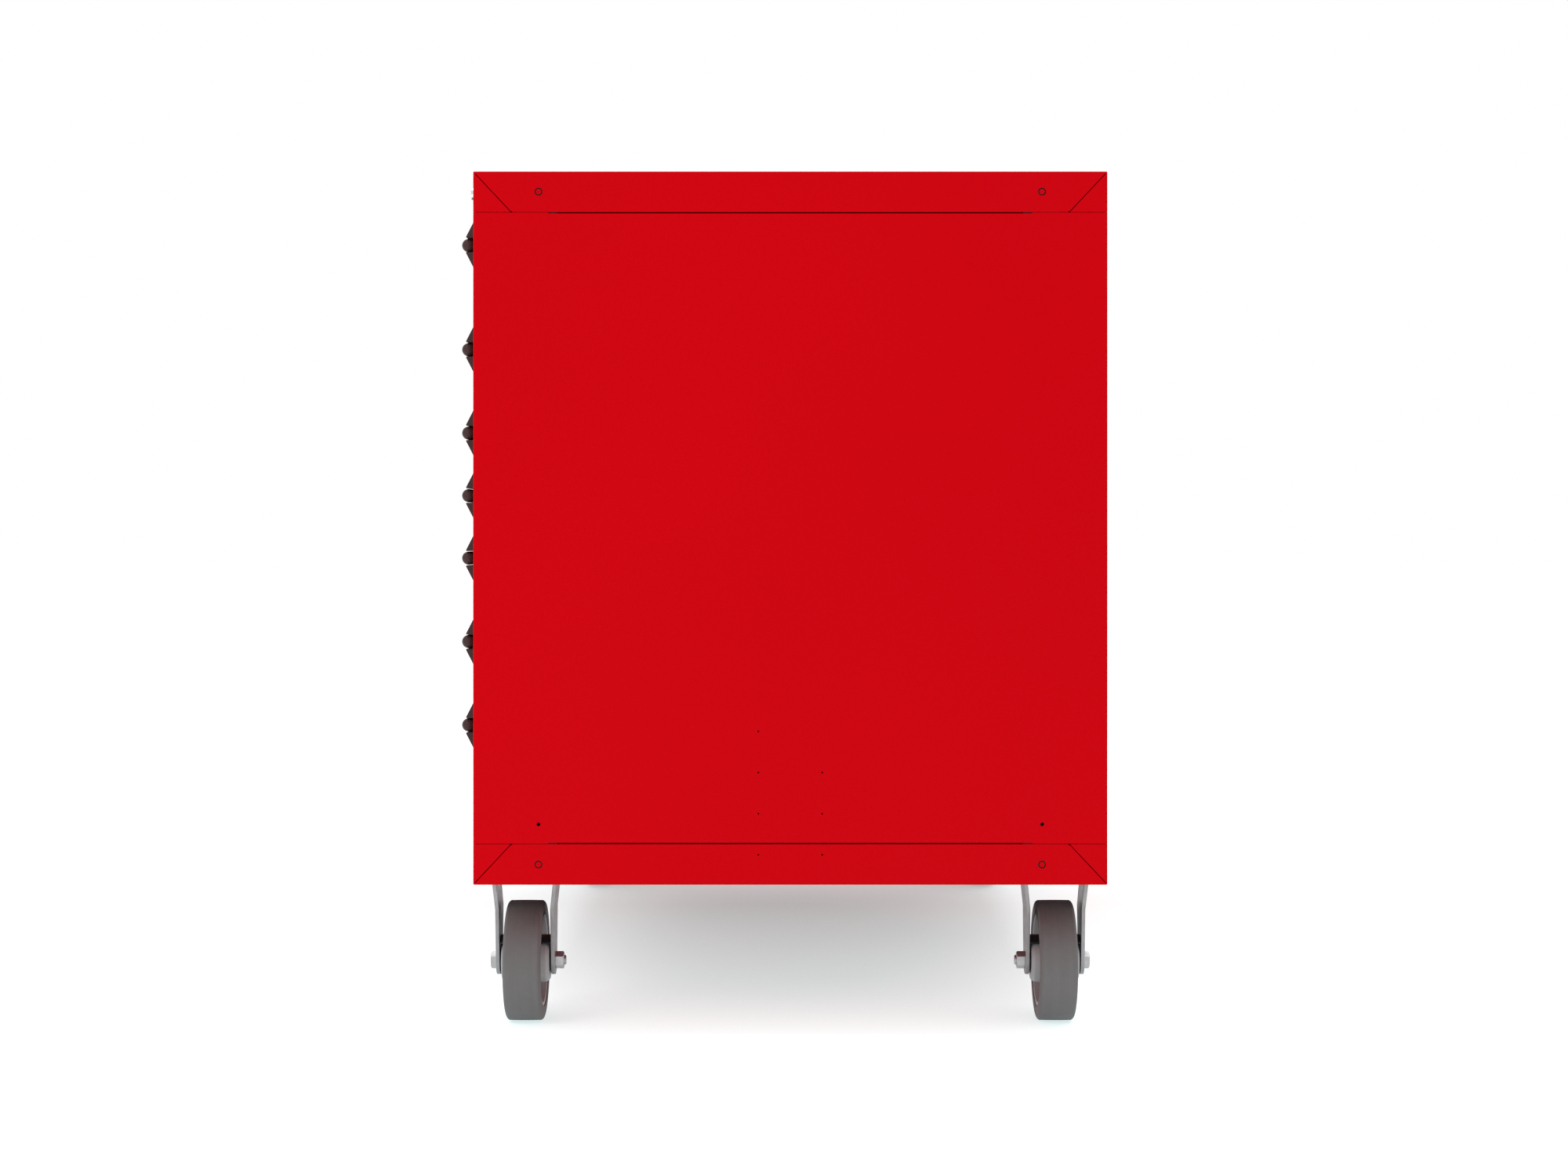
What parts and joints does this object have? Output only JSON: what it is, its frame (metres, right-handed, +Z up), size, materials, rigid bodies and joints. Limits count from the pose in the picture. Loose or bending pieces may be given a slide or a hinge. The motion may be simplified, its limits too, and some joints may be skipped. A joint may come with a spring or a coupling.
{
  "type": "rolling tool chest",
  "caption": "Wide rolling drawer chest with a flat deck, mitred steel panels, full-width pulls, a key lock, and rigid and braked swivel casters.",
  "frame": {"origin": "middle of the whole chest's footprint, handles included, on the floor under the wheels", "axes": "+X toward the end on the rigid casters (the operator's right), +Y from the drawer fronts to the rear, +Z up"},
  "size_m": [1.524, 0.7825, 1.05],
  "materials": {
    "red powder coat": "semi-gloss powder coat with a fine texture",
    "dark handle": "dark bronze anodised, satin",
    "zinc plate": "bright zinc plate",
    "lock chrome": "chrome plate",
    "grey wheel core": "moulded, satin",
    "dark grey tyre": "matt, non-marking",
    "black guard": "moulded, matt",
    "black enamel": "black paint"
  },
  "bodies": {
    "cabinet": {"base_pan": "red powder coat", "top_pan": "red powder coat", "side_panel_right": "red powder coat", "side_panel_left": "red powder coat", "rear_panel": "red powder coat", "slide_uprights": "black enamel", "cabinet_slides": "zinc plate", "panel_fasteners": "red powder coat", "deck_stiffeners": "red powder coat", "caster_channels": "red powder coat", "caster_bolts": "zinc plate", "lock_housing": "lock chrome", "rigid_caster_forks": "zinc plate", "rigid_caster_axle_bolts": "zinc plate", "rigid_caster_thread_guards": "black guard", "swivel_caster_plates": "zinc plate"},
    "lock_bar": {"lock_bar": "black enamel"},
    "lock_barrel": {"lock_barrel": "lock chrome"},
    "drawer_1": {"drawer_1_box": "red powder coat", "drawer_1_handle": "dark handle", "drawer_1_inner_slides": "zinc plate"},
    "drawer_1_middle_slides": {"drawer_1_middle_slides": "zinc plate"},
    "drawer_2": {"drawer_2_box": "red powder coat", "drawer_2_handle": "dark handle", "drawer_2_inner_slides": "zinc plate"},
    "drawer_2_middle_slides": {"drawer_2_middle_slides": "zinc plate"},
    "drawer_3": {"drawer_3_box": "red powder coat", "drawer_3_handle": "dark handle", "drawer_3_inner_slides": "zinc plate"},
    "drawer_3_middle_slides": {"drawer_3_middle_slides": "zinc plate"},
    "drawer_4": {"drawer_4_box": "red powder coat", "drawer_4_handle": "dark handle", "drawer_4_inner_slides": "zinc plate"},
    "drawer_4_middle_slides": {"drawer_4_middle_slides": "zinc plate"},
    "drawer_5": {"drawer_5_box": "red powder coat", "drawer_5_handle": "dark handle", "drawer_5_inner_slides": "zinc plate"},
    "drawer_5_middle_slides": {"drawer_5_middle_slides": "zinc plate"},
    "drawer_6": {"drawer_6_box": "red powder coat", "drawer_6_handle": "dark handle", "drawer_6_inner_slides": "zinc plate"},
    "drawer_6_middle_slides": {"drawer_6_middle_slides": "zinc plate"},
    "drawer_7": {"drawer_7_box": "red powder coat", "drawer_7_handle": "dark handle", "drawer_7_inner_slides": "zinc plate"},
    "drawer_7_middle_slides": {"drawer_7_middle_slides": "zinc plate"},
    "wheel_front_right": {"wheel_core_front_right": "grey wheel core", "tyre_front_right": "dark grey tyre"},
    "swivel_front": {"swivel_fork_front": "zinc plate", "swivel_axle_bolt_front": "zinc plate"},
    "brake_pedal_front": {"brake_pedal_front": "black enamel"},
    "wheel_front_left": {"wheel_core_front_left": "grey wheel core", "tyre_front_left": "dark grey tyre"},
    "wheel_rear_right": {"wheel_core_rear_right": "grey wheel core", "tyre_rear_right": "dark grey tyre"},
    "swivel_rear": {"swivel_fork_rear": "zinc plate", "swivel_axle_bolt_rear": "zinc plate"},
    "brake_pedal_rear": {"brake_pedal_rear": "black enamel"},
    "wheel_rear_left": {"wheel_core_rear_left": "grey wheel core", "tyre_rear_left": "dark grey tyre"}
  },
  "joints": [
    {"name": "lock_bar_lift", "type": "slide", "parent": "cabinet", "child": "lock_bar", "axis": [0, 0, -1], "range_m": [0, 0.00989]},
    {"name": "lock_barrel_turn", "type": "hinge", "parent": "cabinet", "child": "lock_barrel", "pos_m": [0.7, -0.374, 1.0305], "axis": [0, 1, 0], "range_deg": [0, 90]},
    {"name": "drawer_1_pull", "type": "slide", "parent": "cabinet", "child": "drawer_1", "axis": [0, -1, 0], "range_m": [0, 0.65]},
    {"name": "drawer_1_middle_run", "type": "slide", "parent": "cabinet", "child": "drawer_1_middle_slides", "axis": [0, -1, 0], "range_m": [0, 0.325]},
    {"name": "drawer_2_pull", "type": "slide", "parent": "cabinet", "child": "drawer_2", "axis": [0, -1, 0], "range_m": [0, 0.65]},
    {"name": "drawer_2_middle_run", "type": "slide", "parent": "cabinet", "child": "drawer_2_middle_slides", "axis": [0, -1, 0], "range_m": [0, 0.325]},
    {"name": "drawer_3_pull", "type": "slide", "parent": "cabinet", "child": "drawer_3", "axis": [0, -1, 0], "range_m": [0, 0.65]},
    {"name": "drawer_3_middle_run", "type": "slide", "parent": "cabinet", "child": "drawer_3_middle_slides", "axis": [0, -1, 0], "range_m": [0, 0.325]},
    {"name": "drawer_4_pull", "type": "slide", "parent": "cabinet", "child": "drawer_4", "axis": [0, -1, 0], "range_m": [0, 0.65]},
    {"name": "drawer_4_middle_run", "type": "slide", "parent": "cabinet", "child": "drawer_4_middle_slides", "axis": [0, -1, 0], "range_m": [0, 0.325]},
    {"name": "drawer_5_pull", "type": "slide", "parent": "cabinet", "child": "drawer_5", "axis": [0, -1, 0], "range_m": [0, 0.65]},
    {"name": "drawer_5_middle_run", "type": "slide", "parent": "cabinet", "child": "drawer_5_middle_slides", "axis": [0, -1, 0], "range_m": [0, 0.325]},
    {"name": "drawer_6_pull", "type": "slide", "parent": "cabinet", "child": "drawer_6", "axis": [0, -1, 0], "range_m": [0, 0.65]},
    {"name": "drawer_6_middle_run", "type": "slide", "parent": "cabinet", "child": "drawer_6_middle_slides", "axis": [0, -1, 0], "range_m": [0, 0.325]},
    {"name": "drawer_7_pull", "type": "slide", "parent": "cabinet", "child": "drawer_7", "axis": [0, -1, 0], "range_m": [0, 0.65]},
    {"name": "drawer_7_middle_run", "type": "slide", "parent": "cabinet", "child": "drawer_7_middle_slides", "axis": [0, -1, 0], "range_m": [0, 0.325]},
    {"name": "wheel_front_right_spin", "type": "hinge", "parent": "cabinet", "child": "wheel_front_right", "pos_m": [0.612, -0.32425, 0.075], "axis": [0, 1, 0], "continuous": true},
    {"name": "swivel_front_turn", "type": "hinge", "parent": "cabinet", "child": "swivel_front", "pos_m": [-0.612, -0.32425, 0.176], "axis": [0, 0, 1], "continuous": true},
    {"name": "brake_pedal_front_press", "type": "hinge", "parent": "swivel_front", "child": "brake_pedal_front", "pos_m": [-0.674, -0.32425, 0.157], "axis": [0, -1, 0], "range_deg": [0, 15]},
    {"name": "wheel_front_left_spin", "type": "hinge", "parent": "swivel_front", "child": "wheel_front_left", "pos_m": [-0.652, -0.32425, 0.075], "axis": [0, 1, 0], "continuous": true},
    {"name": "wheel_rear_right_spin", "type": "hinge", "parent": "cabinet", "child": "wheel_rear_right", "pos_m": [0.612, 0.34175, 0.075], "axis": [0, 1, 0], "continuous": true},
    {"name": "swivel_rear_turn", "type": "hinge", "parent": "cabinet", "child": "swivel_rear", "pos_m": [-0.612, 0.34175, 0.176], "axis": [0, 0, 1], "continuous": true},
    {"name": "brake_pedal_rear_press", "type": "hinge", "parent": "swivel_rear", "child": "brake_pedal_rear", "pos_m": [-0.674, 0.34175, 0.157], "axis": [0, -1, 0], "range_deg": [0, 15]},
    {"name": "wheel_rear_left_spin", "type": "hinge", "parent": "swivel_rear", "child": "wheel_rear_left", "pos_m": [-0.652, 0.34175, 0.075], "axis": [0, 1, 0], "continuous": true}
  ],
  "couplings": [
    {"joint": "lock_barrel_turn", "follows": "lock_bar_lift", "rad_per_m": 158.6},
    {"joint": "drawer_1_middle_run", "follows": "drawer_1_pull", "ratio": 0.5},
    {"joint": "drawer_2_middle_run", "follows": "drawer_2_pull", "ratio": 0.5},
    {"joint": "drawer_3_middle_run", "follows": "drawer_3_pull", "ratio": 0.5},
    {"joint": "drawer_4_middle_run", "follows": "drawer_4_pull", "ratio": 0.5},
    {"joint": "drawer_5_middle_run", "follows": "drawer_5_pull", "ratio": 0.5},
    {"joint": "drawer_6_middle_run", "follows": "drawer_6_pull", "ratio": 0.5},
    {"joint": "drawer_7_middle_run", "follows": "drawer_7_pull", "ratio": 0.5}
  ]
}
